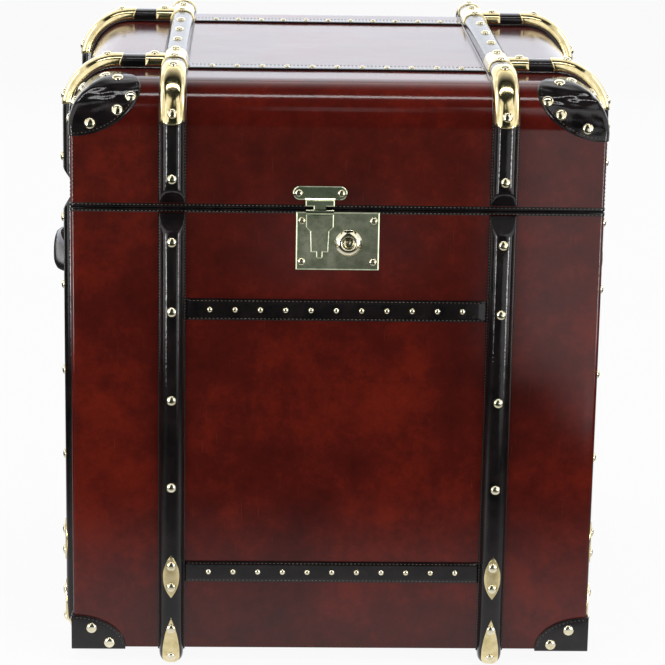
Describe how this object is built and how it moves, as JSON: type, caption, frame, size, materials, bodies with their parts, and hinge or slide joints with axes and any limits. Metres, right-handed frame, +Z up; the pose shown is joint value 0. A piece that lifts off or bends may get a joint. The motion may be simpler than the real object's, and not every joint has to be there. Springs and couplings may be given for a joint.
{
  "type": "leather-covered trunk",
  "caption": "Upright leather-covered trunk with battens, brass fittings, a hinged round-edged lid with hasp and lock, and a swinging side handle on each side.",
  "frame": {"origin": "on the floor under the middle of the trunk", "axes": "+Z up, the front with the lock faces -Y, +X to the right of someone facing the front"},
  "size_m": [0.568, 0.5348, 0.5855],
  "materials": {
    "board_wood": "planed, bare",
    "panel_leather": "mottled, polished",
    "trim_leather": "glossy, stitched",
    "lining_fabric": "woven",
    "polished_brass": "polished",
    "lock_steel": "brushed"
  },
  "bodies": {
    "trunk_body": {"base_board": "board_wood", "front_board": "board_wood", "back_board": "board_wood", "left_board": "board_wood", "right_board": "board_wood", "body_leather": "panel_leather", "base_leather": "panel_leather", "body_rim_binding": "trim_leather", "body_lining": "lining_fabric", "bottom_corner_leathers": "trim_leather", "front_battens": "trim_leather", "back_battens": "trim_leather", "left_battens": "trim_leather", "right_battens": "trim_leather", "base_runners": "trim_leather", "lens_plates": "polished_brass", "foot_plates": "polished_brass", "front_straps": "trim_leather", "back_straps": "trim_leather", "left_straps": "trim_leather", "right_straps": "trim_leather", "body_nails": "polished_brass", "strap_nails": "polished_brass", "body_screws": "polished_brass", "lock_plate": "polished_brass", "lock_case": "lock_steel", "escutcheon": "polished_brass", "lower_hinge_leaves": "polished_brass", "hinge_pins": "polished_brass", "left_handle_brackets": "polished_brass", "right_handle_brackets": "polished_brass"},
    "lid": {"lid_top_board": "board_wood", "lid_front_rail": "board_wood", "lid_back_rail": "board_wood", "lid_left_rail": "board_wood", "lid_right_rail": "board_wood", "lid_leather": "panel_leather", "lid_rim_binding": "trim_leather", "lid_lining": "lining_fabric", "top_corner_leathers": "trim_leather", "lid_top_slats": "trim_leather", "lid_front_battens": "trim_leather", "lid_back_battens": "trim_leather", "lid_left_battens": "trim_leather", "lid_right_battens": "trim_leather", "edge_caps": "polished_brass", "saddles": "polished_brass", "lid_straps": "trim_leather", "lid_nails": "polished_brass", "lid_screws": "polished_brass", "upper_hinge_leaves": "polished_brass", "hasp_plate": "polished_brass", "hasp_pin": "polished_brass"},
    "hasp": {"hasp_leaf": "polished_brass"},
    "lock_plug": {"key_plug": "polished_brass"},
    "bolt": {"lock_bolt": "lock_steel"},
    "left_grip": {"left_handle": "trim_leather"},
    "right_grip": {"right_handle": "trim_leather"}
  },
  "joints": [
    {"name": "lid_hinge", "type": "hinge", "parent": "trunk_body", "child": "lid", "pos_m": [0, 0.2532, 0.4512], "axis": [-1, 0, 0], "range_deg": [0, 100]},
    {"name": "hasp_hinge", "type": "hinge", "parent": "lid", "child": "hasp", "pos_m": [-0.017, -0.2546, 0.4496], "axis": [-1, 0, 0], "range_deg": [0, 120]},
    {"name": "plug_turn", "type": "hinge", "parent": "trunk_body", "child": "lock_plug", "pos_m": [0.0103, -0.2516, 0.4195], "axis": [0, 1, 0], "range_deg": [0, 90]},
    {"name": "bolt_slide", "type": "slide", "parent": "trunk_body", "child": "bolt", "axis": [-1, 0, 0], "range_m": [0, 0.0078]},
    {"name": "left_handle_swing", "type": "hinge", "parent": "trunk_body", "child": "left_grip", "pos_m": [-0.2605, 0, 0.354], "axis": [0, 1, 0], "range_deg": [-30, 30]},
    {"name": "right_handle_swing", "type": "hinge", "parent": "trunk_body", "child": "right_grip", "pos_m": [0.2605, 0, 0.354], "axis": [0, -1, 0], "range_deg": [-30, 30]}
  ],
  "couplings": [
    {"joint": "bolt_slide", "follows": "plug_turn", "m_per_rad": 0.00496}
  ]
}
